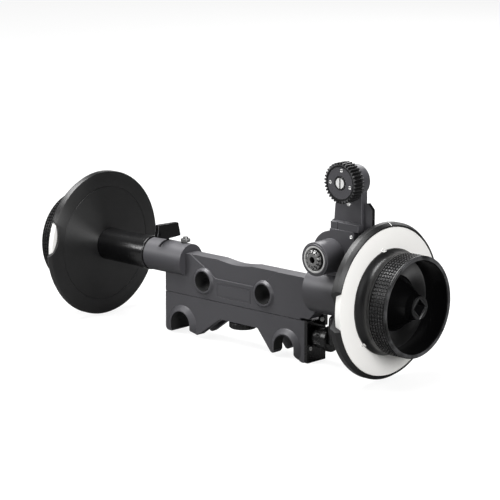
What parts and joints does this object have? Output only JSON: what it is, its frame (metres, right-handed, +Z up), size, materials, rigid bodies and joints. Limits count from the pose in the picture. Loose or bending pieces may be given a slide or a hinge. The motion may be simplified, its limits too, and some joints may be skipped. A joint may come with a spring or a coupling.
{
  "type": "follow focus unit",
  "caption": "Two-sided geared follow focus with index dishes, marking rings and a swing arm lens gear, on a bridge adapter that clamps to a pair of rods.",
  "frame": {"origin": "midway between the axes of the two studio rods, in the plane of the handwheel shaft", "axes": "+X along the handwheel shaft towards the handwheel beside the swing arm, +Y away from the side with the lens gear, +Z up"},
  "size_m": [0.3457, 0.1106, 0.1536],
  "materials": {
    "grey_anodised": "satin anodised",
    "black_anodised": "matt anodised",
    "bright_metal": "satin",
    "dark_screws": "blackened",
    "steel": "ground",
    "gear_steel": "machined",
    "gear_black": "matt moulded",
    "bronze": "turned",
    "white_plastic": "matt writable",
    "black_rubber": "matt"
  },
  "bodies": {
    "frame": {"main_body": "grey_anodised", "bridge_adapter": "grey_anodised", "adapter_end_block": "black_anodised", "stop_bracket": "black_anodised", "bracket_screw": "dark_screws", "dovetail_key": "black_anodised", "rod_lock_screws": "dark_screws", "coupling_sleeve": "grey_anodised", "extension_tube": "black_anodised", "spacer_ring": "black_rubber", "shaft_bearings": "bronze", "gear_housing": "grey_anodised", "drum_cover": "grey_anodised", "cover_screws": "dark_screws", "pivot_journal": "steel", "pivot_nut": "black_anodised"},
    "handwheels": {"near_handwheel": "black_anodised", "far_handwheel": "black_anodised", "near_marking_ring": "white_plastic", "far_marking_ring": "white_plastic", "near_ring_clips": "bright_metal", "far_ring_clips": "bright_metal", "near_crank_socket": "bright_metal", "far_crank_socket": "bright_metal", "main_shaft": "steel", "extension_shaft": "steel", "shaft_coupling": "steel", "shaft_gear": "gear_steel"},
    "near_dish": {"near_index_dish": "black_anodised"},
    "far_dish": {"far_index_dish": "black_anodised"},
    "output": {"output_gear": "gear_steel", "output_shaft": "steel", "sun_gear": "gear_steel"},
    "arm": {"swing_arm": "grey_anodised", "arm_rear_cover": "grey_anodised", "idler_pins": "steel", "arm_clamp_bar": "grey_anodised", "arm_lever_pin": "dark_screws", "pivot_ring": "bright_metal"},
    "bush_1": {"idler_bush_1": "bronze"},
    "bush_2": {"idler_bush_2": "bronze"},
    "bush_3": {"idler_bush_3": "bronze"},
    "bush_4": {"drive_bush": "bronze"},
    "idler_1": {"idler_gear_1": "gear_steel"},
    "idler_2": {"idler_gear_2": "gear_steel"},
    "idler_3": {"idler_gear_3": "gear_steel"},
    "drive": {"drive_wheel": "gear_steel", "drive_spindle": "steel", "lens_gear": "gear_black", "gear_face_plate": "grey_anodised", "face_plate_screws": "bright_metal", "centre_screw": "bright_metal"},
    "arm_lever": {"arm_lever": "grey_anodised"},
    "tube_lock": {"lock_lever": "black_anodised", "lock_ring": "steel"},
    "index_pin": {"lock_pawl": "bright_metal"},
    "clamp_knob": {"rod_clamp_knob": "black_anodised", "clamp_tab": "bright_metal"},
    "clamp_jaw": {"rod_clamp_jaw": "black_anodised"},
    "adapter_lock": {"adapter_lock_knob": "black_anodised"}
  },
  "joints": [
    {"name": "wheel_spin", "type": "hinge", "parent": "frame", "child": "handwheels", "pos_m": [0, 0, 0.04765], "axis": [1, 0, 0], "continuous": true},
    {"name": "near_dish_turn", "type": "hinge", "parent": "frame", "child": "near_dish", "pos_m": [0.1379, 0, 0.04765], "axis": [1, 0, 0], "continuous": true},
    {"name": "far_dish_turn", "type": "hinge", "parent": "frame", "child": "far_dish", "pos_m": [-0.1406, 0, 0.04765], "axis": [1, 0, 0], "continuous": true},
    {"name": "output_spin", "type": "hinge", "parent": "frame", "child": "output", "pos_m": [0.1014, 0, 0.07645], "axis": [0, 1, 0], "continuous": true},
    {"name": "arm_swing", "type": "hinge", "parent": "frame", "child": "arm", "pos_m": [0.1014, 0, 0.07645], "axis": [0, 1, 0], "range_deg": [-45, 5]},
    {"name": "bush_1_follow", "type": "hinge", "parent": "arm", "child": "bush_1", "pos_m": [0.10493, 0, 0.09], "axis": [0, 1, 0], "range_deg": [-45, 5]},
    {"name": "bush_2_follow", "type": "hinge", "parent": "arm", "child": "bush_2", "pos_m": [0.10846, 0, 0.10355], "axis": [0, 1, 0], "range_deg": [-5, 45]},
    {"name": "bush_3_follow", "type": "hinge", "parent": "arm", "child": "bush_3", "pos_m": [0.11199, 0, 0.11709], "axis": [0, 1, 0], "range_deg": [-45, 5]},
    {"name": "bush_4_follow", "type": "hinge", "parent": "arm", "child": "bush_4", "pos_m": [0.11552, 0, 0.13064], "axis": [0, 1, 0], "range_deg": [-5, 45]},
    {"name": "idler_1_spin", "type": "hinge", "parent": "bush_1", "child": "idler_1", "pos_m": [0.10493, 0, 0.09], "axis": [0, 1, 0], "continuous": true},
    {"name": "idler_2_spin", "type": "hinge", "parent": "bush_2", "child": "idler_2", "pos_m": [0.10846, 0, 0.10355], "axis": [0, 1, 0], "continuous": true},
    {"name": "idler_3_spin", "type": "hinge", "parent": "bush_3", "child": "idler_3", "pos_m": [0.11199, 0, 0.11709], "axis": [0, 1, 0], "continuous": true},
    {"name": "drive_spin", "type": "hinge", "parent": "bush_4", "child": "drive", "pos_m": [0.11552, 0, 0.13064], "axis": [0, 1, 0], "continuous": true},
    {"name": "arm_lever_tilt", "type": "hinge", "parent": "arm", "child": "arm_lever", "pos_m": [0.128, -0.0048, 0.09265], "axis": [1, 0, 0], "range_deg": [-20, 0], "stiffness_Nm_per_rad": 0.005, "springref_deg": 17.19},
    {"name": "tube_lock_turn", "type": "hinge", "parent": "frame", "child": "tube_lock", "pos_m": [-0.073, 0, 0.04765], "axis": [1, 0, 0], "range_deg": [0, 40]},
    {"name": "index_pin_lift", "type": "slide", "parent": "frame", "child": "index_pin", "axis": [0, 0, 1], "range_m": [0, 0.002], "stiffness_N_per_m": 300, "springref_m": -0.002},
    {"name": "clamp_knob_turn", "type": "hinge", "parent": "frame", "child": "clamp_knob", "pos_m": [0.0724, 0.0044, 0.01], "axis": [1, 0, 0], "range_deg": [0, 1080]},
    {"name": "clamp_jaw_slide", "type": "slide", "parent": "frame", "child": "clamp_jaw", "axis": [1, 0, 0], "range_m": [0, 0.0042]},
    {"name": "adapter_lock_turn", "type": "hinge", "parent": "frame", "child": "adapter_lock", "pos_m": [0, 0.0044, 0.0067], "axis": [0, 0, 1], "range_deg": [0, 540]}
  ],
  "couplings": [
    {"joint": "output_spin", "follows": "wheel_spin", "ratio": -1},
    {"joint": "idler_1_spin", "follows": "wheel_spin", "ratio": 1},
    {"joint": "idler_2_spin", "follows": "wheel_spin", "ratio": -1},
    {"joint": "idler_3_spin", "follows": "wheel_spin", "ratio": 1},
    {"joint": "drive_spin", "follows": "wheel_spin", "ratio": -1},
    {"joint": "bush_1_follow", "follows": "arm_swing", "ratio": 1},
    {"joint": "bush_2_follow", "follows": "arm_swing", "ratio": -1},
    {"joint": "bush_3_follow", "follows": "arm_swing", "ratio": 1},
    {"joint": "bush_4_follow", "follows": "arm_swing", "ratio": -1},
    {"joint": "clamp_jaw_slide", "follows": "clamp_knob_turn", "m_per_rad": 0.0002228}
  ]
}
